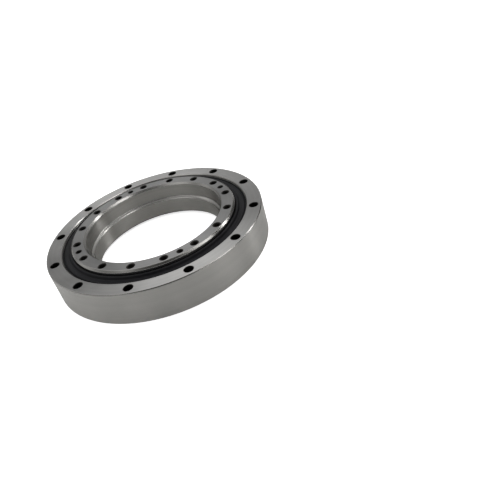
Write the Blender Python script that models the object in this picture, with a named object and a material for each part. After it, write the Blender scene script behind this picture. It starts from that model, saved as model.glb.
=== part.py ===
"""Slewing ring bearing: a crossed-roller ring with bolted one-piece races.

The outer ring is drilled for through bolts and the inner ring is tapped from
its front face.  Cylindrical rollers lie alternately at +45 and -45 degrees in
a pair of facing V raceways, spaced by one cage.  A rubber seal closes the
front gap; the back is closed by a narrow lip gap.  The rollers go in through
a radial hole in the outer ring, which a plug and a small locking pin close.

Frame: metres, +Z out of the front (sealed) face, origin on the axis in the
outer ring's back face, +X through one of the outer ring's bolt holes.
"""
import math

import bmesh
import bpy
from mathutils import Matrix, Vector

MM = 0.001
STEPS = 72                     # facets round a turned ring

# --- driving dimensions, millimetres ---------------------------------------
OUTER_R = 71.0                 # outer ring outside radius
OUTER_H = 21.75                # outer ring height
EDGE = 0.5                     # broken edges of the rings
TOTAL_H = 24.4                 # back of outer ring to front of inner ring
INNER_BACK = 1.2               # inner ring's back face sits this far in

BOLT_R = 66.0                  # outer ring bolt circle radius
BOLT_N = 12
BOLT_HOLE_R = 2.75
BOLT_SINK = 0.3                # chamfer at each bolt hole mouth
TAP_R = 49.8                   # inner ring bolt circle radius
TAP_N = 16
TAP_CORE_R = 2.1               # M5 core
TAP_MOUTH_R = 2.6
TAP_DEPTH = 9.5
TAP_START = 12.9               # degrees from +X to the first tapped hole
JACK_CORE_R = 1.65             # M4 core
JACK_MOUTH_R = 2.05
JACK_DEPTH = 6.0

SEAT_R = 61.1                  # seal seat in the outer ring
SEAT_Z = 17.5
FRONT_EDGE_R = 61.5
RING_GROOVE = (58.4, 61.05, 1.6)   # groove in the back face: radii, depth
LAND = (57.1, 0.2)             # land inside that groove: inner radius, height
LIP_R = 53.75                  # outer ring's narrow lip at the back
CHANNEL_R = 56.3               # outer ring land beside the raceway
CHANNEL_Z = 3.3

INNER_FRONT_R = 54.1           # inner ring outside radius where the seal runs
INNER_EDGE = 1.1               # bevel round its front face
INNER_LAND_R = 53.6            # inner ring land beside the raceway
INNER_BACK_R = 53.3
BORE_FRONT_R = 44.5
BORE_BACK_R = 42.5
BORE_FRONT_CHAMFER = 1.3
BORE_BACK_CHAMFER = 1.5
STEP_Z = 13.05                 # shallow cone between the two bores
STEP_RISE = 1.0

PITCH_R = 55.0                 # circle of the roller centres
ROLLER_Z = 10.5                # plane of the roller centres
ROLLER_R = 3.0
ROLLER_L = 5.8
ROLLER_CHAMFER = 0.35
ROLLER_N = 44
ROLLER_SIDES = 12
RACE_GAP = 0.2                 # running clearance, roller to raceway
RACE_DEPTH = (ROLLER_R + RACE_GAP) * math.sqrt(2.0)

CAGE_R = (54.25, 55.7)
CAGE_HALF_H = 5.6
WINDOW_W = 6.5
WINDOW_H = 8.95

SEAL_GAP = 0.3                 # seal to seat, and lip to inner ring

PLUG_ANGLE = 255.0             # between two bolt holes
PLUG_HOLE_R = 4.75
PLUG_R = 4.5
PIN_R = 0.6
PIN_HOLE_R = 0.78
PIN_CIRCLE_R = 60.3
PIN_BOTTOM = 7.0


def clear_scene():
    for ob in list(bpy.data.objects):
        bpy.data.objects.remove(ob, do_unlink=True)


def material(name, colour, roughness, metallic):
    mat = bpy.data.materials.new(name)
    mat.use_nodes = True
    bsdf = mat.node_tree.nodes["Principled BSDF"]
    bsdf.inputs["Base Color"].default_value = (*colour, 1.0)
    bsdf.inputs["Roughness"].default_value = roughness
    bsdf.inputs["Metallic"].default_value = metallic
    mat.diffuse_color = (*colour, 1.0)
    return mat


def link(name, mesh, mat=None):
    ob = bpy.data.objects.new(name, mesh)
    bpy.context.scene.collection.objects.link(ob)
    if mat is not None:
        mesh.materials.clear()
        mesh.materials.append(mat)
    return ob


def shade(mesh, degrees=28.0):
    mesh.shade_smooth()
    mesh.set_sharp_from_angle(angle=math.radians(degrees))


def turned(bm, profile, steps=STEPS, start=0.0):
    """Spin a closed profile of (radius, height) points round the Z axis."""
    a = math.radians(start)
    verts = [bm.verts.new((r * MM * math.cos(a), r * MM * math.sin(a), z * MM))
             for r, z in profile]
    edges = [bm.edges.new((verts[i], verts[(i + 1) % len(verts)]))
             for i in range(len(verts))]
    bmesh.ops.spin(bm, geom=verts + edges, cent=(0, 0, 0), axis=(0, 0, 1),
                   angle=2.0 * math.pi, steps=steps, use_merge=True,
                   use_duplicate=False)
    bmesh.ops.remove_doubles(bm, verts=bm.verts, dist=1e-7)


def turned_mesh(name, profile, steps=STEPS):
    bm = bmesh.new()
    turned(bm, profile, steps)
    bmesh.ops.recalc_face_normals(bm, faces=bm.faces)
    mesh = bpy.data.meshes.new(name)
    bm.to_mesh(mesh)
    bm.free()
    return mesh


def stack(bm, rings, sides, where):
    """A closed round bar from (radius, height) sections, placed by a matrix."""
    loops = []
    for r, z in rings:
        loop = []
        for k in range(sides):
            a = 2.0 * math.pi * k / sides
            p = Vector((r * MM * math.cos(a), r * MM * math.sin(a), z * MM))
            loop.append(bm.verts.new(where @ p))
        loops.append(loop)
    for low, high in zip(loops, loops[1:]):
        for k in range(sides):
            m = (k + 1) % sides
            bm.faces.new((low[k], low[m], high[m], high[k]))
    bm.faces.new(list(reversed(loops[0])))
    bm.faces.new(loops[-1])


def bars(name, rings, sides, places):
    bm = bmesh.new()
    for where in places:
        stack(bm, rings, sides, where)
    mesh = bpy.data.meshes.new(name)
    bm.to_mesh(mesh)
    bm.free()
    return mesh


def on_circle(radius, degrees, z=0.0):
    a = math.radians(degrees)
    return (Matrix.Translation((radius * MM * math.cos(a),
                                radius * MM * math.sin(a), z * MM))
            @ Matrix.Rotation(a, 4, "Z"))


def guide(name, mesh):
    ob = link(name, mesh)
    ob.hide_render = True
    ob.display_type = "WIRE"
    ob.hide_set(True)
    return ob


def boolean(ob, tool, operation="DIFFERENCE"):
    mod = ob.modifiers.new(tool.name, "BOOLEAN")
    mod.operation = operation
    mod.solver = "EXACT"
    mod.object = tool
    return mod


clear_scene()

RING_STEEL = material("ring_steel", (0.42, 0.41, 0.40), 0.32, 1.0)
INNER_STEEL = material("inner_ring_steel", (0.44, 0.43, 0.42), 0.30, 1.0)
ROLLER_STEEL = material("roller_steel", (0.62, 0.62, 0.63), 0.12, 1.0)
PLUG_STEEL = material("plug_steel", (0.40, 0.39, 0.38), 0.34, 1.0)
PIN_STEEL = material("pin_steel", (0.36, 0.36, 0.37), 0.30, 1.0)
CAGE_PLASTIC = material("cage_polymer", (0.62, 0.52, 0.36), 0.45, 0.0)
SEAL_RUBBER = material("seal_rubber", (0.018, 0.018, 0.021), 0.42, 0.0)

# --- outer ring --------------------------------------------------------------
apex_out = PITCH_R + RACE_DEPTH
half_out = apex_out - CHANNEL_R
outer_profile = [
    (OUTER_R - EDGE, OUTER_H), (OUTER_R, OUTER_H - EDGE),
    (OUTER_R, EDGE), (OUTER_R - EDGE, 0.0),
    (RING_GROOVE[1], 0.0), (RING_GROOVE[1], RING_GROOVE[2]),
    (RING_GROOVE[0], RING_GROOVE[2]), (RING_GROOVE[0], LAND[1]),
    (LAND[0], LAND[1]), (LIP_R + 0.15, 0.95), (LIP_R, 1.1),
    (LIP_R, 2.9), (CHANNEL_R, CHANNEL_Z),
    (CHANNEL_R, ROLLER_Z - half_out), (apex_out, ROLLER_Z),
    (CHANNEL_R, ROLLER_Z + half_out), (CHANNEL_R, SEAT_Z),
    (SEAT_R, SEAT_Z), (SEAT_R, OUTER_H - (FRONT_EDGE_R - SEAT_R)),
    (FRONT_EDGE_R, OUTER_H),
]
outer_ring = link("outer_ring", turned_mesh("outer_ring", outer_profile), RING_STEEL)

bolt_rings = [(BOLT_HOLE_R + BOLT_SINK + 1.0, -1.0), (BOLT_HOLE_R, BOLT_SINK),
              (BOLT_HOLE_R, OUTER_H - BOLT_SINK),
              (BOLT_HOLE_R + BOLT_SINK + 1.0, OUTER_H + 1.0)]
bolt_places = [on_circle(BOLT_R, 360.0 * k / BOLT_N) for k in range(BOLT_N)]
boolean(outer_ring, guide("cut_bolt_holes", bars("cut_bolt_holes", bolt_rings, 14, bolt_places)))

jack_back = [(JACK_MOUTH_R + 1.0, -1.0), (JACK_CORE_R, JACK_MOUTH_R - JACK_CORE_R),
             (JACK_CORE_R, JACK_DEPTH)]
jack_places = [on_circle(BOLT_R, 15.0 + 90.0 * k) for k in range(4)]
boolean(outer_ring, guide("cut_back_jacks", bars("cut_back_jacks", jack_back, 10, jack_places)))

# radial filling hole, and the locking pin's hole from the seal seat
plug_axis = (Matrix.Rotation(math.radians(PLUG_ANGLE), 4, "Z")
             @ Matrix.Translation((0.0, 0.0, ROLLER_Z * MM))
             @ Matrix.Rotation(math.radians(90.0), 4, "Y"))
boolean(outer_ring, guide("cut_plug_hole", bars(
    "cut_plug_hole", [(PLUG_HOLE_R, 52.0), (PLUG_HOLE_R, OUTER_R + 2.0)], 24, [plug_axis])))
pin_place = on_circle(PIN_CIRCLE_R, PLUG_ANGLE)
pin_cut = guide("cut_pin_hole", bars(
    "cut_pin_hole", [(PIN_HOLE_R, PIN_BOTTOM - 0.3), (PIN_HOLE_R, SEAT_Z + 1.0)],
    12, [pin_place]))
boolean(outer_ring, pin_cut)

# --- roller plug and its locking pin ------------------------------------------
roller_plug = link("roller_plug", bars(
    "roller_plug", [(PLUG_R, 52.5), (PLUG_R, OUTER_R + 1.5)], 24, [plug_axis]), PLUG_STEEL)
plug_form = guide("plug_form", turned_mesh("plug_form", [
    (OUTER_R - 0.1, ROLLER_Z + 6.0), (OUTER_R - 0.1, ROLLER_Z - 6.0),
    (CHANNEL_R + 0.1, ROLLER_Z - 6.0), (CHANNEL_R + 0.1, ROLLER_Z - half_out + 0.1),
    (apex_out, ROLLER_Z),
    (CHANNEL_R + 0.1, ROLLER_Z + half_out - 0.1), (CHANNEL_R + 0.1, ROLLER_Z + 6.0),
]))
boolean(roller_plug, plug_form, "INTERSECT")
boolean(roller_plug, pin_cut)

plug_pin = link("plug_pin", bars(
    "plug_pin", [(PIN_R - 0.15, PIN_BOTTOM), (PIN_R, PIN_BOTTOM + 0.3),
                 (PIN_R, SEAT_Z - 0.45), (PIN_R - 0.15, SEAT_Z - 0.25)],
    10, [pin_place]), PIN_STEEL)

# --- inner ring -----------------------------------------------------------------
apex_in = PITCH_R - RACE_DEPTH
half_in = INNER_LAND_R - apex_in
inner_profile = [
    (INNER_FRONT_R - INNER_EDGE, TOTAL_H), (INNER_FRONT_R, TOTAL_H - INNER_EDGE),
    (INNER_FRONT_R, SEAT_Z - 0.2), (INNER_LAND_R, SEAT_Z - 0.6),
    (INNER_LAND_R, ROLLER_Z + half_in), (apex_in, ROLLER_Z),
    (INNER_LAND_R, ROLLER_Z - half_in), (INNER_LAND_R, CHANNEL_Z + 0.3),
    (INNER_BACK_R, CHANNEL_Z), (INNER_BACK_R, INNER_BACK + 0.3),
    (INNER_BACK_R - 0.3, INNER_BACK),
    (BORE_BACK_R + BORE_BACK_CHAMFER, INNER_BACK),
    (BORE_BACK_R, INNER_BACK + BORE_BACK_CHAMFER),
    (BORE_BACK_R, STEP_Z), (BORE_FRONT_R, STEP_Z + STEP_RISE),
    (BORE_FRONT_R, TOTAL_H - BORE_FRONT_CHAMFER),
    (BORE_FRONT_R + BORE_FRONT_CHAMFER, TOTAL_H),
]
inner_ring = link("inner_ring", turned_mesh("inner_ring", inner_profile), INNER_STEEL)

tap_rings = [(TAP_CORE_R, TOTAL_H - TAP_DEPTH), (TAP_CORE_R, TOTAL_H - (TAP_MOUTH_R - TAP_CORE_R)),
             (TAP_MOUTH_R + 1.0, TOTAL_H + 1.0)]
tap_places = [on_circle(TAP_R, TAP_START + 360.0 * k / TAP_N) for k in range(TAP_N)]
boolean(inner_ring, guide("cut_taps", bars("cut_taps", tap_rings, 12, tap_places)))
jack_front = [(JACK_CORE_R, TOTAL_H - JACK_DEPTH),
              (JACK_CORE_R, TOTAL_H - (JACK_MOUTH_R - JACK_CORE_R)),
              (JACK_MOUTH_R + 1.0, TOTAL_H + 1.0)]
jack_in_places = [on_circle(TAP_R, TAP_START - 180.0 / TAP_N + 90.0 * k) for k in range(4)]
boolean(inner_ring, guide("cut_front_jacks", bars("cut_front_jacks", jack_front, 10, jack_in_places)))

# --- front seal -------------------------------------------------------------------
seal_out = SEAT_R - SEAL_GAP
seal_in = INNER_FRONT_R + SEAL_GAP
seal_profile = [
    (seal_out, SEAT_Z + 0.3), (CHANNEL_R + 0.4, SEAT_Z + 0.3),
    (CHANNEL_R, SEAT_Z + 1.6), (seal_in + 0.5, SEAT_Z + 2.9),
    (seal_in, SEAT_Z + 3.6), (seal_in + 0.1, SEAT_Z + 4.2),
    (seal_in + 0.7, SEAT_Z + 4.1), (seal_in + 2.4, SEAT_Z + 2.6),
    (seal_in + 3.4, SEAT_Z + 2.1), (seal_out - 0.3, SEAT_Z + 2.0),
    (seal_out, SEAT_Z + 1.7),
]
front_seal = link("front_seal", turned_mesh("front_seal", seal_profile), SEAL_RUBBER)

# --- cage ----------------------------------------------------------------------------
cage = link("roller_cage", turned_mesh("roller_cage", [
    (CAGE_R[1], ROLLER_Z + CAGE_HALF_H), (CAGE_R[1], ROLLER_Z - CAGE_HALF_H),
    (CAGE_R[0], ROLLER_Z - CAGE_HALF_H), (CAGE_R[0], ROLLER_Z + CAGE_HALF_H),
], steps=2 * ROLLER_N), CAGE_PLASTIC)
window_bm = bmesh.new()
for k in range(ROLLER_N):
    where = on_circle(PITCH_R, 360.0 * k / ROLLER_N, ROLLER_Z)
    bmesh.ops.create_cube(window_bm, size=1.0, matrix=where @ Matrix.Diagonal(
        (6.0 * MM, WINDOW_W * MM, WINDOW_H * MM, 1.0)))
window_mesh = bpy.data.meshes.new("cut_windows")
window_bm.to_mesh(window_mesh)
window_bm.free()
boolean(cage, guide("cut_windows", window_mesh))

# --- rollers ---------------------------------------------------------------------------
h = ROLLER_L / 2.0
roller_mesh = bars("roller", [
    (ROLLER_R - ROLLER_CHAMFER, -h), (ROLLER_R, -h + ROLLER_CHAMFER),
    (ROLLER_R, h - ROLLER_CHAMFER), (ROLLER_R - ROLLER_CHAMFER, h),
], ROLLER_SIDES, [Matrix.Identity(4)])
roller_mesh.materials.append(ROLLER_STEEL)
shade(roller_mesh, 35.0)
for k in range(ROLLER_N):
    tilt = 45.0 if k % 2 == 0 else 135.0      # from +Z towards the outside
    roller = bpy.data.objects.new("roller_%02d" % (k + 1), roller_mesh)
    bpy.context.scene.collection.objects.link(roller)
    roller.matrix_world = (on_circle(PITCH_R, 360.0 * k / ROLLER_N, ROLLER_Z)
                           @ Matrix.Rotation(math.radians(tilt), 4, "Y"))

for ob in (outer_ring, inner_ring, front_seal, cage, roller_plug, plug_pin):
    shade(ob.data)
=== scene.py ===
"""Looks of the slewing ring bearing: fine turned rings, threaded holes, rubber seal,
moulded cage, rollers, and the studio round them.  Metres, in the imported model's frame."""
import math

import bmesh
import bpy
import numpy as np
from mathutils import Matrix, Vector


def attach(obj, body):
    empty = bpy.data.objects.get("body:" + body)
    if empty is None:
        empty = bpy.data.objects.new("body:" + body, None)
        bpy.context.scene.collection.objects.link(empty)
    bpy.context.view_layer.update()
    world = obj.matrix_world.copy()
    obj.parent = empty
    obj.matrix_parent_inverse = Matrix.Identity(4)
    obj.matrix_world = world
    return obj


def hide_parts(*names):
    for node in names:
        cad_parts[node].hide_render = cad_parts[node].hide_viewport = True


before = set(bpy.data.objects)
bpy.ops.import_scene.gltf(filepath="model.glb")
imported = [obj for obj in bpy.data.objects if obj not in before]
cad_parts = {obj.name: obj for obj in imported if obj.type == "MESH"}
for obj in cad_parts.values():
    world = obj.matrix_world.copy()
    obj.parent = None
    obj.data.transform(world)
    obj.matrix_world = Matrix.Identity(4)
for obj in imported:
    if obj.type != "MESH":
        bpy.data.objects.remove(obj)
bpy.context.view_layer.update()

MM = 0.001
STEPS = 288                     # facets round a turned ring

# --------------------------------------------------------------------------
# node materials
# --------------------------------------------------------------------------


class Nodes:
    """Small helper for building a node tree in code."""

    def __init__(self, tree):
        self.tree = tree
        tree.nodes.clear()

    def add(self, kind, **values):
        node = self.tree.nodes.new(kind)
        for key, value in values.items():
            setattr(node, key, value)
        return node

    def link(self, a, b):
        self.tree.links.new(a, b)

    def put(self, socket, value):
        if hasattr(value, "is_output"):
            self.link(value, socket)
        else:
            socket.default_value = value

    def math(self, op, a, b=0.0, c=None, clamp=False):
        node = self.add("ShaderNodeMath", operation=op, use_clamp=clamp)
        self.put(node.inputs[0], a)
        self.put(node.inputs[1], b)
        if c is not None:
            self.put(node.inputs[2], c)
        return node.outputs[0]

    def ramp(self, value, lo, hi, to_lo=0.0, to_hi=1.0, smooth=True):
        node = self.add("ShaderNodeMapRange")
        node.interpolation_type = "SMOOTHSTEP" if smooth else "LINEAR"
        node.clamp = True
        self.put(node.inputs["Value"], value)
        self.put(node.inputs["From Min"], lo)
        self.put(node.inputs["From Max"], hi)
        self.put(node.inputs["To Min"], to_lo)
        self.put(node.inputs["To Max"], to_hi)
        return node.outputs["Result"]

    def mix(self, fac, a, b):
        node = self.add("ShaderNodeMix", data_type="RGBA")
        self.put(node.inputs["Factor"], fac)
        self.put(node.inputs[6], a)
        self.put(node.inputs[7], b)
        return node.outputs[2]

    def noise1(self, w, scale, detail=2.0, rough=0.5):
        node = self.add("ShaderNodeTexNoise", noise_dimensions="1D")
        self.put(node.inputs["W"], w)
        node.inputs["Scale"].default_value = scale
        node.inputs["Detail"].default_value = detail
        node.inputs["Roughness"].default_value = rough
        return node.outputs["Fac"]

    def noise3(self, vector, scale, detail=3.0, rough=0.5):
        node = self.add("ShaderNodeTexNoise", noise_dimensions="3D")
        self.put(node.inputs["Vector"], vector)
        node.inputs["Scale"].default_value = scale
        node.inputs["Detail"].default_value = detail
        node.inputs["Roughness"].default_value = rough
        return node.outputs["Fac"]


def rgb(r, g, b):
    return (r, g, b, 1.0)


def new_material(name):
    mat = bpy.data.materials.new(name)
    mat.use_nodes = True
    n = Nodes(mat.node_tree)
    out = n.add("ShaderNodeOutputMaterial")
    bsdf = n.add("ShaderNodeBsdfPrincipled")
    n.link(bsdf.outputs[0], out.inputs["Surface"])
    return mat, n, bsdf


def steel(name, dark, light, rough, spread=0.05, aniso=0.0, across="radius",
          pitch=0.25, depth=0.02, mottle=38.0, blotch=0.5):
    """Machined steel.  Tool marks run round the part's axis and vary with the
    radius (flat faces) or with the height (walls)."""
    mat, n, bsdf = new_material(name)
    coord = n.add("ShaderNodeTexCoord").outputs["Object"]
    part = n.add("ShaderNodeSeparateXYZ")
    n.link(coord, part.inputs[0])
    x, y, z = part.outputs
    if across == "radius":
        along = n.math("SQRT", n.math("ADD", n.math("MULTIPLY", x, x), n.math("MULTIPLY", y, y)))
    elif across == "height":
        along = z
    else:                                            # bevels: both together
        rad = n.math("SQRT", n.math("ADD", n.math("MULTIPLY", x, x), n.math("MULTIPLY", y, y)))
        along = n.math("SUBTRACT", rad, z)
    fine = n.noise1(along, 1.0 / (pitch * MM), 3.0, 0.6)
    broad = n.noise1(along, 1.0 / (2.6 * MM), 2.0, 0.5)
    cloud = n.noise3(coord, mottle, 3.0, 0.55)
    grain = n.noise3(coord, 900.0, 2.0, 0.6)
    # colour: fine grooves slightly darker, soft clouds of handling and oil film
    tone = n.math("ADD", n.math("MULTIPLY", n.ramp(fine, 0.25, 0.75), 0.34),
                  n.math("MULTIPLY", n.ramp(cloud, 0.30, 0.70), blotch))
    tone = n.math("ADD", tone, n.math("MULTIPLY", n.ramp(broad, 0.3, 0.7), 0.16), clamp=True)
    n.link(n.mix(tone, dark, light), bsdf.inputs["Base Color"])
    bsdf.inputs["Metallic"].default_value = 1.0
    r = n.math("ADD", rough - spread, n.math("MULTIPLY", n.ramp(cloud, 0.25, 0.75), spread * 1.2))
    r = n.math("ADD", r, n.math("MULTIPLY", n.ramp(fine, 0.2, 0.8), spread * 0.8))
    n.link(r, bsdf.inputs["Roughness"])
    if aniso:
        bsdf.inputs["Anisotropic"].default_value = aniso
        bsdf.inputs["Anisotropic Rotation"].default_value = 0.25
        n.link(n.add("ShaderNodeTangent", direction_type="RADIAL", axis="Z").outputs[0],
               bsdf.inputs["Tangent"])
    height = n.math("ADD", n.math("MULTIPLY", fine, 0.8), n.math("MULTIPLY", grain, 0.25))
    bump = n.add("ShaderNodeBump")
    bump.inputs["Strength"].default_value = depth
    bump.inputs["Distance"].default_value = 0.05 * MM
    n.link(height, bump.inputs["Height"])
    n.link(bump.outputs[0], bsdf.inputs["Normal"])
    return mat


GROUND = steel("ring_ground_face", rgb(0.335, 0.334, 0.330), rgb(0.470, 0.468, 0.463), 0.33,
               0.05, 0.80, "radius", 0.22, 0.06)
WALL = steel("ring_turned_wall", rgb(0.350, 0.346, 0.333), rgb(0.495, 0.489, 0.470), 0.42,
             0.05, 0.98, "height", 0.24, 0.06)
BEVEL = steel("ring_bevel", rgb(0.33, 0.325, 0.315), rgb(0.44, 0.434, 0.42), 0.25,
              0.04, 0.3, "both", 0.15, 0.04)
IN_BEVEL = steel("inner_ring_bevel", rgb(0.31, 0.306, 0.296), rgb(0.41, 0.404, 0.39), 0.24,
                 0.04, 0.3, "both", 0.15, 0.04)
RACE = steel("raceway_polished", rgb(0.46, 0.455, 0.445), rgb(0.56, 0.555, 0.54), 0.12,
             0.03, 0.2, "height", 0.10, 0.02)
# Hole walls: the near-black base colour is painted shade that falls inside the holes, over a little oil
# darkening.
HOLE_PAINTED_SHADE = steel("drilled_hole_painted_shade", rgb(0.020, 0.019, 0.018), rgb(0.050, 0.047, 0.044), 0.46,
             0.06, 0.0, "height", 0.12, 0.10)
IN_GROUND = steel("inner_ground_face", rgb(0.208, 0.208, 0.208), rgb(0.318, 0.317, 0.317), 0.42,
                  0.05, 0.50, "radius", 0.20, 0.06)
IN_WALL = steel("inner_bore_wall", rgb(0.325, 0.320, 0.304), rgb(0.455, 0.447, 0.426), 0.44,
                0.05, 0.99, "height", 0.22, 0.06)
ROLLER = steel("roller_steel", rgb(0.52, 0.52, 0.525), rgb(0.63, 0.63, 0.635), 0.11,
               0.03, 0.2, "height", 0.08, 0.02, 90.0)
PLUG = steel("plug_steel", rgb(0.235, 0.232, 0.222), rgb(0.315, 0.310, 0.296), 0.31,
             0.05, 0.0, "height", 0.24, 0.06)
PIN = steel("pin_steel", rgb(0.30, 0.30, 0.305), rgb(0.42, 0.42, 0.425), 0.26,
            0.05, 0.0, "height", 0.10, 0.06, 200.0)

# Hole mouths: the dark base colour is painted shade, widening the dark of each hole over its bevelled rim.
MOUTH_PAINTED_SHADE = steel("hole_mouth_painted_shade", rgb(0.045, 0.044, 0.042), rgb(0.10, 0.098, 0.094), 0.38,
              0.05, 0.0, "both", 0.12, 0.06)

RING_MATS = [GROUND, WALL, BEVEL, RACE, HOLE_PAINTED_SHADE, MOUTH_PAINTED_SHADE]
INNER_MATS = [IN_GROUND, IN_WALL, IN_BEVEL, RACE, HOLE_PAINTED_SHADE, MOUTH_PAINTED_SHADE]
# DRILL and SINK surfaces take the painted-shade hole materials.
FACE, SIDE, EDGE, TRACK, DRILL, SINK = range(6)


def rubber():
    mat, n, bsdf = new_material("seal_rubber")
    coord = n.add("ShaderNodeTexCoord").outputs["Object"]
    part = n.add("ShaderNodeSeparateXYZ")
    n.link(coord, part.inputs[0])
    x, y, z = part.outputs
    rad = n.math("SQRT", n.math("ADD", n.math("MULTIPLY", x, x), n.math("MULTIPLY", y, y)))
    cloud = n.noise3(coord, 60.0, 4.0, 0.6)
    grain = n.noise3(coord, 2600.0, 2.0, 0.6)
    speck = n.noise3(coord, 520.0, 2.0, 0.7)
    lines = n.noise1(rad, 1.0 / (0.45 * MM), 2.0, 0.5)
    dust = n.math("MULTIPLY", n.ramp(speck, 0.60, 0.80), n.ramp(cloud, 0.45, 0.75))
    base = n.mix(n.ramp(cloud, 0.3, 0.7), rgb(0.0042, 0.0043, 0.0052), rgb(0.0072, 0.0074, 0.0090))
    n.link(n.mix(n.math("MULTIPLY", dust, 0.5), base, rgb(0.030, 0.031, 0.034)),
           bsdf.inputs["Base Color"])
    r = n.math("ADD", 0.31, n.math("MULTIPLY", n.ramp(cloud, 0.25, 0.75), 0.09))
    r = n.math("ADD", r, n.math("MULTIPLY", dust, 0.25))
    n.link(r, bsdf.inputs["Roughness"])
    bsdf.inputs["Specular IOR Level"].default_value = 0.11
    bump = n.add("ShaderNodeBump")
    bump.inputs["Strength"].default_value = 0.12
    bump.inputs["Distance"].default_value = 0.05 * MM
    n.link(n.math("ADD", n.math("MULTIPLY", grain, 0.5), n.math("MULTIPLY", lines, 0.8)),
           bump.inputs["Height"])
    n.link(bump.outputs[0], bsdf.inputs["Normal"])
    return mat


def moulded():
    mat, n, bsdf = new_material("cage_polymer")
    coord = n.add("ShaderNodeTexCoord").outputs["Object"]
    cloud = n.noise3(coord, 70.0, 3.0, 0.5)
    grain = n.noise3(coord, 1800.0, 2.0, 0.5)
    n.link(n.mix(n.ramp(cloud, 0.3, 0.7), rgb(0.50, 0.39, 0.22), rgb(0.60, 0.49, 0.30)),
           bsdf.inputs["Base Color"])
    n.link(n.math("ADD", 0.36, n.math("MULTIPLY", n.ramp(cloud, 0.25, 0.75), 0.12)),
           bsdf.inputs["Roughness"])
    bsdf.inputs["Subsurface Weight"].default_value = 0.08
    bsdf.inputs["Subsurface Radius"].default_value = (0.001, 0.0008, 0.0005)
    bump = n.add("ShaderNodeBump")
    bump.inputs["Strength"].default_value = 0.2
    bump.inputs["Distance"].default_value = 0.04 * MM
    n.link(grain, bump.inputs["Height"])
    n.link(bump.outputs[0], bsdf.inputs["Normal"])
    return mat


RUBBER = rubber()
CAGE = moulded()

# --------------------------------------------------------------------------
# mesh tools
# --------------------------------------------------------------------------


def softened(corners):
    """Corners (radius, height, fillet, kind) in millimetres, anticlockwise.
    Each corner gets a small arc.  Returns points, and a kind for the stretch
    that follows each point."""
    points, kinds = [], []
    count = len(corners)
    for i in range(count):
        p = Vector(corners[i][:2])
        before = Vector(corners[i - 1][:2]) - p
        after = Vector(corners[(i + 1) % count][:2]) - p
        fillet = corners[i][2]
        kind_in, kind_out = corners[i - 1][3], corners[i][3]
        turn = math.pi - before.angle(after)
        if fillet <= 0.0 or turn < 0.02:
            points.append(p)
            kinds.append(kind_out)
            continue
        reach = fillet * math.tan(turn / 2.0)
        limit = 0.45 * min(before.length, after.length)
        if reach > limit:
            fillet *= limit / reach
            reach = limit
        a = p + before.normalized() * reach
        b = p + after.normalized() * reach
        middle = p + (before.normalized() + after.normalized()).normalized() * (
            fillet / math.cos(turn / 2.0))
        segments = max(2, int(math.ceil(turn / math.radians(20.0))))
        start = a - middle
        sweep = start.angle_signed(b - middle)
        for k in range(segments + 1):
            t = -sweep * k / segments
            c, s = math.cos(t), math.sin(t)
            points.append(middle + Vector((start.x * c - start.y * s,
                                           start.x * s + start.y * c)))
            kinds.append(kind_in if k < segments / 2.0 else kind_out)
        kinds[-1] = kind_out
    return points, kinds


def subdivided(points, kinds, longest):
    out_p, out_k = [], []
    for i, p in enumerate(points):
        q = points[(i + 1) % len(points)]
        parts = max(1, int(math.ceil((q - p).length / longest)))
        for k in range(parts):
            out_p.append(p.lerp(q, k / parts))
            out_k.append(kinds[i])
    return out_p, out_k


def turned(name, corners, materials, steps=STEPS, longest=50.0):
    """Spins an anticlockwise profile round the axis."""
    points, kinds = subdivided(*softened(corners), longest)
    n = len(points)
    rz = np.array([(p.x, p.y) for p in points]) * MM
    a = np.arange(steps) * 2.0 * math.pi / steps
    verts = np.empty((steps, n, 3))
    verts[..., 0] = np.cos(a)[:, None] * rz[None, :, 0]
    verts[..., 1] = np.sin(a)[:, None] * rz[None, :, 0]
    verts[..., 2] = rz[None, :, 1]
    faces, slots = [], []
    for k in range(steps):
        k2 = (k + 1) % steps
        for i in range(n):
            j = (i + 1) % n
            faces.append((k * n + i, k2 * n + i, k2 * n + j, k * n + j))
            slots.append(kinds[i])
    return make(name, verts.reshape(-1, 3), faces, materials, slots)


def make(name, verts, faces, materials, slots=None):
    mesh = bpy.data.meshes.new(name)
    mesh.from_pydata([tuple(v) for v in verts], [], faces)
    for mat in materials:
        mesh.materials.append(mat)
    if slots is not None:
        mesh.polygons.foreach_set("material_index", slots)
    mesh.update()
    ob = bpy.data.objects.new(name, mesh)
    bpy.context.scene.collection.objects.link(ob)
    return ob


def lathe(rings, sides):
    """A closed round bar: rings of (radius, height, kind) from bottom to top."""
    verts, faces, slots = [], [], []
    for r, z, _ in rings:
        for k in range(sides):
            a = 2.0 * math.pi * k / sides
            verts.append((r * MM * math.cos(a), r * MM * math.sin(a), z * MM))
    for j in range(len(rings) - 1):
        for k in range(sides):
            m = (k + 1) % sides
            faces.append((j * sides + k, j * sides + m, (j + 1) * sides + m, (j + 1) * sides + k))
            slots.append(rings[j][2])
    faces.append(tuple(reversed(range(sides))))
    slots.append(rings[0][2])
    top = (len(rings) - 1) * sides
    faces.append(tuple(top + k for k in range(sides)))
    slots.append(rings[-1][2])
    return verts, faces, slots


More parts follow.
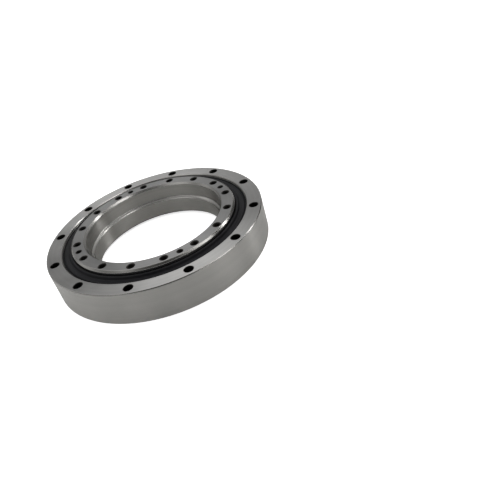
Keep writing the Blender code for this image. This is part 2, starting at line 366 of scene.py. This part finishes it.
def threaded(core, major, pitch, depth, sink, mouth, sides, drill_extra=1.2):
    """Tapped blind hole, opening up at height 0: a cutter with a helical wall."""
    marks = (0.0, 0.16, 0.44, 0.56, 0.84)
    shape = ((0.0, 0.16, 0.44, 0.56, 0.84, 1.0), (core, core, major, major, core, core))
    lo, hi = -depth, -sink
    turns = int(math.ceil((hi - lo) / pitch)) + 2
    verts, faces, slots = [], [], []

    def wall(i, z):
        a = 2.0 * math.pi * (i % sides) / sides
        phase = ((z - lo) / pitch - i / sides) % 1.0
        r = float(np.interp(phase, *shape))
        return (r * MM * math.cos(a), r * MM * math.sin(a), z * MM)

    rows = turns * len(marks)
    for i in range(sides + 1):
        for j in range(rows):
            z = lo + pitch * (j // len(marks) - 1 + marks[j % len(marks)] + i / sides)
            z = min(max(z, lo), hi)
            verts.append(wall(i % sides if i < sides else 0, z) if z in (lo, hi)
                         else wall(i, z))
    for i in range(sides):
        for j in range(rows - 1):
            a, b = i * rows + j, (i + 1) * rows + j
            faces.append((a, b, b + 1, a + 1))
            slots.append(DRILL)
    base = len(verts)
    tip = [(core * 0.98, lo - 0.001), (core * 0.98, lo - drill_extra), (0.12, lo - drill_extra - core * 0.55)]
    slope = (mouth - major - 0.02) / sink
    head = [(major + 0.02, hi + 0.001), (mouth + slope, 1.0)]
    for r, z in tip + head:
        for k in range(sides):
            a = 2.0 * math.pi * k / sides
            verts.append((r * MM * math.cos(a), r * MM * math.sin(a), z * MM))

    def ring(m, k):
        return base + m * sides + k % sides

    for k in range(sides):
        first, last = k * rows, k * rows + rows - 1
        first2 = (k + 1) * rows
        last2 = (k + 1) * rows + rows - 1
        faces.append((ring(0, k), ring(0, k + 1), first2, first))
        slots.append(DRILL)
        for m in (0, 1):
            faces.append((ring(m + 1, k), ring(m + 1, k + 1), ring(m, k + 1), ring(m, k)))
            slots.append(DRILL)
        faces.append((last, last2, ring(3, k + 1), ring(3, k)))
        slots.append(DRILL)
        faces.append((ring(3, k), ring(3, k + 1), ring(4, k + 1), ring(4, k)))
        slots.append(SINK)
    faces.append(tuple(ring(2, k) for k in reversed(range(sides))))
    slots.append(DRILL)
    faces.append(tuple(ring(4, k) for k in range(sides)))
    slots.append(SINK)
    bm = bmesh.new()
    made = [bm.verts.new(v) for v in verts]
    for f, s in zip(faces, slots):
        face = bm.faces.new([made[v] for v in f])
        face.material_index = s
    bmesh.ops.remove_doubles(bm, verts=bm.verts, dist=2e-7)
    bmesh.ops.dissolve_degenerate(bm, edges=bm.edges, dist=2e-7)
    bmesh.ops.recalc_face_normals(bm, faces=bm.faces)
    bm.verts.index_update()
    out_v = [tuple(v.co) for v in bm.verts]
    out_f = [tuple(v.index for v in f.verts) for f in bm.faces]
    out_s = [f.material_index for f in bm.faces]
    bm.free()
    return out_v, out_f, out_s


def copies(name, shape, places, materials):
    """One mesh holding a copy of the shape at each place."""
    verts, faces, slots = [], [], []
    for where in places:
        start = len(verts)
        verts += [tuple(where @ Vector(v)) for v in shape[0]]
        faces += [tuple(start + i for i in f) for f in shape[1]]
        slots += shape[2]
    return make(name, verts, faces, materials, slots)


def on_circle(radius, degrees, z=0.0):
    a = math.radians(degrees)
    return (Matrix.Translation((radius * MM * math.cos(a), radius * MM * math.sin(a), z * MM))
            @ Matrix.Rotation(a, 4, "Z"))


FLIP = Matrix.Rotation(math.pi, 4, "X")


def cut(ob, tools, operation="DIFFERENCE"):
    """Applies exact booleans, and removes the cutters."""
    for tool in tools:
        mod = ob.modifiers.new(tool.name, "BOOLEAN")
        mod.operation = operation
        mod.solver = "EXACT"
        mod.object = tool
    bpy.context.view_layer.update()
    graph = bpy.context.evaluated_depsgraph_get()
    mesh = bpy.data.meshes.new_from_object(ob.evaluated_get(graph), depsgraph=graph)
    ob.modifiers.clear()
    old = ob.data
    ob.data = mesh
    mesh.name = ob.name
    bpy.data.meshes.remove(old)
    for tool in tools:
        data = tool.data
        bpy.data.objects.remove(tool, do_unlink=True)
        bpy.data.meshes.remove(data)
    bm = bmesh.new()
    bm.from_mesh(mesh)
    bmesh.ops.remove_doubles(bm, verts=bm.verts, dist=1e-7)
    bmesh.ops.dissolve_degenerate(bm, edges=bm.edges, dist=1e-7)
    bm.to_mesh(mesh)
    bm.free()
    return ob


def finish_shading(ob, degrees=32.0):
    ob.data.shade_smooth()
    ob.data.set_sharp_from_angle(angle=math.radians(degrees))
    mod = ob.modifiers.new("face_weighted", "WEIGHTED_NORMAL")
    mod.mode = "FACE_AREA"
    mod.weight = 100
    mod.keep_sharp = True


# --------------------------------------------------------------------------
# outer ring
# --------------------------------------------------------------------------

OUTER_H = 21.75
TOTAL_H = 24.4
ROLLER_Z = 10.5
APEX_OUT, APEX_IN = 55.0 + 3.2 * math.sqrt(2.0), 55.0 - 3.2 * math.sqrt(2.0)
HALF_OUT, HALF_IN = APEX_OUT - 56.3, 53.6 - APEX_IN

outer = turned("race_ring_outer", [
    (70.5, 0.0, 0.22, EDGE), (71.0, 0.5, 0.22, SIDE),
    (71.0, 21.25, 0.22, EDGE), (70.5, 21.75, 0.22, FACE),
    (61.65, 21.75, 0.2, EDGE), (61.08, 21.18, 0.2, SIDE),
    (61.08, 17.5, 0.15, FACE), (56.3, 17.5, 0.15, SIDE),
    (56.3, ROLLER_Z + HALF_OUT, 0.25, TRACK), (APEX_OUT, ROLLER_Z, 0.3, TRACK),
    (56.3, ROLLER_Z - HALF_OUT, 0.25, SIDE), (56.3, 3.3, 0.2, FACE),
    (53.75, 2.9, 0.12, SIDE), (53.75, 1.1, 0.08, EDGE), (53.9, 0.95, 0.3, FACE),
    (57.1, 0.2, 0.3, FACE), (58.32, 0.2, 0.1, SIDE), (58.4, 1.6, 0.2, FACE),
    (61.05, 1.6, 0.2, SIDE), (61.05, 0.12, 0.05, EDGE), (61.17, 0.0, 0.05, FACE),
], RING_MATS)

bolt_hole = lathe([(4.3, -1.22, SINK), (3.10, -0.02, SINK), (3.02, 0.06, SINK), (2.88, 0.20, SINK),
                   (2.80, 0.34, DRILL), (2.80, OUTER_H - 0.34, SINK),
                   (2.88, OUTER_H - 0.20, SINK), (3.02, OUTER_H - 0.06, SINK),
                   (3.10, OUTER_H + 0.02, SINK), (4.3, OUTER_H + 1.22, SINK)], 40)
bolts = copies("tool_bolts", bolt_hole, [on_circle(66.0, 30.0 * k) for k in range(12)], RING_MATS)
jack = threaded(1.66, 2.0, 0.7, 5.6, 0.14, 2.12, 24)
back_jacks = copies("tool_back_jacks", jack,
                    [on_circle(66.0, 15.0 + 90.0 * k) @ FLIP for k in range(4)], RING_MATS)
plug_axis = (Matrix.Rotation(math.radians(255.0), 4, "Z")
             @ Matrix.Translation((0.0, 0.0, ROLLER_Z * MM))
             @ Matrix.Rotation(math.radians(90.0), 4, "Y"))
plug_bore = copies("tool_plug", lathe([(4.62, 52.0, DRILL), (4.62, 70.8, EDGE), (6.0, 72.2, EDGE)], 64),
                   [plug_axis], RING_MATS)
pin_place = on_circle(60.3, 255.0)
pin_bore = copies("tool_pin", lathe([(0.66, 6.9, DRILL), (0.66, 18.5, DRILL)], 24), [pin_place], RING_MATS)
cut(outer, [bolts, back_jacks, plug_bore, pin_bore])
finish_shading(outer)

# --------------------------------------------------------------------------
# inner ring
# --------------------------------------------------------------------------

inner = turned("race_ring_inner", [
    (44.0, 1.2, 0.3, FACE), (53.0, 1.2, 0.12, EDGE), (53.3, 1.5, 0.12, SIDE),
    (53.3, 3.3, 0.15, FACE), (53.6, 3.6, 0.15, SIDE),
    (53.6, ROLLER_Z - HALF_IN, 0.25, TRACK), (APEX_IN, ROLLER_Z, 0.3, TRACK),
    (53.6, ROLLER_Z + HALF_IN, 0.25, SIDE), (53.6, 16.9, 0.2, FACE), (54.1, 17.3, 0.2, TRACK),
    (54.1, 23.25, 0.3, EDGE), (53.0, 24.4, 0.45, FACE),
    (45.8, 24.4, 0.25, EDGE), (44.5, 23.1, 0.35, SIDE),
    (44.5, 14.15, 0.9, EDGE), (43.1, 13.4, 0.3, EDGE), (42.5, 12.85, 0.3, SIDE),
    (42.5, 2.7, 0.4, EDGE),
], INNER_MATS)

tap = threaded(2.15, 2.52, 0.8, 9.0, 0.22, 2.72, 26)
taps = copies("tool_taps", tap, [on_circle(49.8, 12.9 + 22.5 * k, TOTAL_H) for k in range(16)], INNER_MATS)
front_jacks = copies("tool_front_jacks", jack,
                     [on_circle(49.8, 1.65 + 90.0 * k, TOTAL_H) for k in range(4)], INNER_MATS)
cut(inner, [taps, front_jacks])
finish_shading(inner)

# --------------------------------------------------------------------------
# seal
# --------------------------------------------------------------------------

seal = turned("shaft_seal_front", [
    (56.6, 17.56, 0.2, 0), (60.95, 17.56, 0.25, 0), (61.0, 19.95, 0.25, 0),
    (60.45, 20.0, 0.15, 0), (60.3, 19.6, 0.2, 0), (59.95, 19.6, 0.2, 0), (59.7, 20.2, 0.3, 0),
    (58.9, 20.35, 0.8, 0), (57.2, 20.05, 0.7, 0), (56.5, 20.3, 0.5, 0),
    (55.85, 21.45, 0.5, 0), (55.1, 21.72, 0.4, 0), (54.42, 21.5, 0.2, 0),
    (54.17, 20.95, 0.12, 0), (54.95, 20.2, 0.4, 0), (56.15, 19.0, 0.6, 0), (56.42, 17.9, 0.4, 0),
], [RUBBER], STEPS)
finish_shading(seal, 60.0)

# --------------------------------------------------------------------------
# cage, plug, pin, rollers
# --------------------------------------------------------------------------

cage = turned("spacer_cage", [
    (54.27, 4.92, 0.2, 0), (55.68, 4.92, 0.2, 0), (55.68, 16.08, 0.2, 0), (54.27, 16.08, 0.2, 0),
], [CAGE], 264)


def window(width, height, corner, low, high, arc=4):
    outline = []
    for cx, cy, start in ((width / 2 - corner, height / 2 - corner, 0.0),
                          (-width / 2 + corner, height / 2 - corner, 90.0),
                          (-width / 2 + corner, -height / 2 + corner, 180.0),
                          (width / 2 - corner, -height / 2 + corner, 270.0)):
        for k in range(arc + 1):
            t = math.radians(start + 90.0 * k / arc)
            outline.append((cx + corner * math.cos(t), cy + corner * math.sin(t)))
    count = len(outline)
    rings = [(low, 1.0 + 0.35 / (width / 2)), (low + 0.95, 1.0), (high - 0.95, 1.0),
             (high, 1.0 + 0.35 / (width / 2))]
    verts = [(x * MM, y * s * MM, z * s * MM) for x, s in rings for y, z in outline]
    faces = []
    for j in range(len(rings) - 1):
        for k in range(count):
            m = (k + 1) % count
            faces.append((j * count + k, j * count + m, (j + 1) * count + m, (j + 1) * count + k))
    faces.append(tuple(reversed(range(count))))
    faces.append(tuple((len(rings) - 1) * count + k for k in range(count)))
    return verts, faces, [0] * len(faces)


windows = copies("tool_windows", window(6.5, 8.95, 0.9, -1.6, 1.6),
                 [on_circle(55.0, 360.0 * k / 44, ROLLER_Z) for k in range(44)], [CAGE])
cut(cage, [windows])
finish_shading(cage, 35.0)

plug = copies("filling_plug", lathe([(4.57, 52.5, 0), (4.57, 73.0, 0)], 64), [plug_axis], [PLUG])
plug_form = turned("tool_plug_form", [
    (71.0 - 0.12, ROLLER_Z - 6.0, 0.0, 0), (71.0 - 0.12, ROLLER_Z + 6.0, 0.0, 0),
    (56.4, ROLLER_Z + 6.0, 0.0, 0), (56.4, ROLLER_Z + HALF_OUT - 0.1, 0.2, 0),
    (APEX_OUT, ROLLER_Z, 0.2, 0), (56.4, ROLLER_Z - HALF_OUT + 0.1, 0.2, 0),
    (56.4, ROLLER_Z - 6.0, 0.0, 0),
], [PLUG])
cut(plug, [plug_form], "INTERSECT")
pin_bore = copies("tool_pin", lathe([(0.66, 6.9, 0), (0.66, 18.5, 0)], 24), [pin_place], [PLUG])
cut(plug, [pin_bore])
finish_shading(plug)
bevel = plug.modifiers.new("broken_edge", "BEVEL")
bevel.width = 0.12 * MM
bevel.segments = 2
bevel.limit_method = "ANGLE"
bevel.angle_limit = math.radians(50.0)

pin = copies("locking_pin", lathe([
    (0.30, 7.0, 0), (0.45, 7.04, 0), (0.56, 7.16, 0), (0.6, 7.34, 0), (0.6, 16.98, 0),
    (0.56, 17.12, 0), (0.45, 17.22, 0), (0.30, 17.25, 0)], 24), [pin_place], [PIN])
finish_shading(pin, 40.0)

half = 2.9
roller_rings = [(0.45, -half + 0.12, 0), (0.62, -half + 0.02, 0), (0.80, -half, 0),
                (2.62, -half, 0), (2.80, -half + 0.05, 0), (2.93, -half + 0.16, 0),
                (2.99, -half + 0.36, 0), (3.0, -half + 0.7, 0), (3.0, half - 0.7, 0),
                (2.99, half - 0.36, 0), (2.93, half - 0.16, 0), (2.80, half - 0.05, 0),
                (2.62, half, 0), (0.80, half, 0), (0.62, half - 0.02, 0), (0.45, half - 0.12, 0)]
first_roller = copies("crossed_roller_01", lathe(roller_rings, 40), [Matrix.Identity(4)], [ROLLER])
roller_mesh = first_roller.data
roller_mesh.shade_smooth()
roller_mesh.set_sharp_from_angle(angle=math.radians(35.0))
rollers = []
for k in range(44):
    tilt = 45.0 if k % 2 == 0 else 135.0
    ob = first_roller if k == 0 else bpy.data.objects.new("crossed_roller_%02d" % (k + 1), roller_mesh)
    if k:
        bpy.context.scene.collection.objects.link(ob)
    ob.matrix_world = (on_circle(55.0, 360.0 * k / 44, ROLLER_Z)
                       @ Matrix.Rotation(math.radians(tilt), 4, "Y"))
    rollers.append(ob)

# --------------------------------------------------------------------------
# riding on the frame
# --------------------------------------------------------------------------

for piece, body, node, slot in (
        (outer, "outer_ring_body", "outer_ring", "ring_steel"),
        (inner, "inner_ring_body", "inner_ring", "inner_ring_steel"),
        (seal, "outer_ring_body", "front_seal", "seal_rubber"),
        (cage, "cage_body", "roller_cage", "cage_polymer"),
        (plug, "outer_ring_body", "roller_plug", "plug_steel"),
        (pin, "outer_ring_body", "plug_pin", "pin_steel")):
    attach(piece, body)
    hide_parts(node)
for k, piece in enumerate(rollers):
    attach(piece, "roller_%02d_body" % (k + 1))
    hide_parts("roller_%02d" % (k + 1))

# --------------------------------------------------------------------------
# floor, light and camera
# --------------------------------------------------------------------------

bm = bmesh.new()
bmesh.ops.create_grid(bm, x_segments=8, y_segments=8, size=9.0)
floor_mesh = bpy.data.meshes.new("floor")
bm.to_mesh(floor_mesh)
bm.free()
floor = bpy.data.objects.new("floor", floor_mesh)
bpy.context.scene.collection.objects.link(floor)
floor.location.z = -0.0001
mat, n, bsdf = new_material("floor_paper")
coord = n.add("ShaderNodeTexCoord").outputs["Object"]
n.link(n.mix(n.noise3(coord, 14.0, 2.0), rgb(0.70, 0.70, 0.698), rgb(0.715, 0.715, 0.713)),
       bsdf.inputs["Base Color"])
bsdf.inputs["Roughness"].default_value = 0.9
bsdf.inputs["Specular IOR Level"].default_value = 0.1
bsdf.inputs["Emission Color"].default_value = rgb(1.0, 1.0, 1.0)
n.link(n.math("MULTIPLY", n.add("ShaderNodeLightPath").outputs["Is Camera Ray"], 0.78),
       bsdf.inputs["Emission Strength"])
floor_mesh.materials.append(mat)

# soft boxes in a dim room.  BOXES: azimuth, elevation, half width, half height,
# edge softness, strength, in degrees.  STRIPS lie in a ceiling plane at height 1:
# from, to (along azimuth 83), from, to (across it), edge softness, strength.
ROOM = 0.07
BOXES = [
    (258.5, 52.0, 12.0, 21.0, 8.0, 1.00),      # large box above and behind
    (261.0, 58.0, 34.0, 14.0, 9.0, 0.85),      # its wider top
    (262.0, 14.0, 44.0, 13.0, 8.0, 0.28),      # wall behind
    (306.0, 38.0, 20.0, 12.0, 8.0, 0.52),      # fill from the left
    (340.0, 14.0, 30.0, 12.0, 8.0, 0.62),      # window on the left
    (218.0, 38.0, 20.0, 14.0, 9.0, 0.56),      # fill from the right
    (83.0, 8.0, 70.0, 16.0, 8.0, 0.50),        # room behind the camera
    (0.0, 46.0, 28.0, 14.0, 12.0, 0.36),       # dim wall on the left
]
STRIPS = [
    (-1.00, 0.36, -1.0, 0.8, 0.08, 0.58),      # overhead
    (0.31, 0.49, 0.28, 1.20, 0.06, 4.60),      # bright tube, on the camera's side
    (-0.36, -0.19, 0.98, 2.60, 0.05, 10.50),   # bright tube, on the right
]

world = bpy.data.worlds.new("studio")
bpy.context.scene.world = world
world.use_nodes = True
n = Nodes(world.node_tree)
out = n.add("ShaderNodeOutputWorld")
back = n.add("ShaderNodeBackground")
n.link(back.outputs[0], out.inputs["Surface"])
direction = n.add("ShaderNodeTexCoord").outputs["Generated"]
part = n.add("ShaderNodeSeparateXYZ")
n.link(direction, part.inputs[0])
dx, dy, dz = part.outputs
elevation = n.math("MULTIPLY", n.math("ARCSINE", dz), 180.0 / math.pi)


def turned_to(az):
    c, s = math.cos(math.radians(az)), math.sin(math.radians(az))
    return (n.math("ADD", n.math("MULTIPLY", dx, c), n.math("MULTIPLY", dy, s)),
            n.math("SUBTRACT", n.math("MULTIPLY", dy, c), n.math("MULTIPLY", dx, s)))


total = None
for az, el, half_w, half_h, soft, strength in BOXES:
    u, v = turned_to(az)
    off_az = n.math("ABSOLUTE", n.math("MULTIPLY", n.math("ARCTAN2", v, u), 180.0 / math.pi))
    off_el = n.math("ABSOLUTE", n.math("SUBTRACT", elevation, el))
    box = n.math("MULTIPLY", n.ramp(off_az, half_w + soft, half_w - soft, 0.0, strength),
                 n.ramp(off_el, half_h + soft, half_h - soft))
    total = box if total is None else n.math("ADD", total, box)
u, v = turned_to(83.0)
height = n.math("MAXIMUM", dz, 0.02)
along, across = n.math("DIVIDE", u, height), n.math("DIVIDE", v, height)
for a0, a1, c0, c1, soft, strength in STRIPS:
    off_a = n.math("ABSOLUTE", n.math("SUBTRACT", along, (a0 + a1) / 2.0))
    off_c = n.math("ABSOLUTE", n.math("SUBTRACT", across, (c0 + c1) / 2.0))
    box = n.math("MULTIPLY",
                 n.ramp(off_a, (a1 - a0) / 2.0 + soft, (a1 - a0) / 2.0 - soft, 0.0, strength),
                 n.ramp(off_c, (c1 - c0) / 2.0 + soft, (c1 - c0) / 2.0 - soft))
    total = n.math("ADD", total, box)
total = n.math("ADD", total, ROOM)
# past the edge of the floor the camera sees plain white, not the boxes
seen = n.add("ShaderNodeLightPath").outputs["Is Camera Ray"]
n.link(n.math("MAXIMUM", total, n.math("MULTIPLY", seen, 8.0)), back.inputs["Strength"])
back.inputs["Color"].default_value = rgb(1.0, 0.995, 0.985)

key = bpy.data.lights.new("overhead", "SUN")
key.energy = 1.7
key.angle = math.radians(120.0)
key_ob = bpy.data.objects.new("overhead", key)
bpy.context.scene.collection.objects.link(key_ob)
key_ob.rotation_euler = (math.radians(8.0), math.radians(-6.0), 0.0)
key_ob.visible_glossy = False

cam = bpy.data.cameras.new("camera")
cam.lens = 38.185
cam.sensor_width = 36.0
cam.sensor_fit = "HORIZONTAL"
cam.clip_start = 0.01
cam.clip_end = 100.0
cam_ob = bpy.data.objects.new("camera", cam)
bpy.context.scene.collection.objects.link(cam_ob)
cam_ob.location = (0.036574, 0.296834, 0.180158)
cam_ob.rotation_euler = (math.radians(55.528), math.radians(13.337), math.radians(153.990))
bpy.context.scene.camera = cam_ob

bpy.context.scene.view_settings.view_transform = "Standard"
bpy.context.scene.view_settings.look = "None"

bpy.context.view_layer.update()
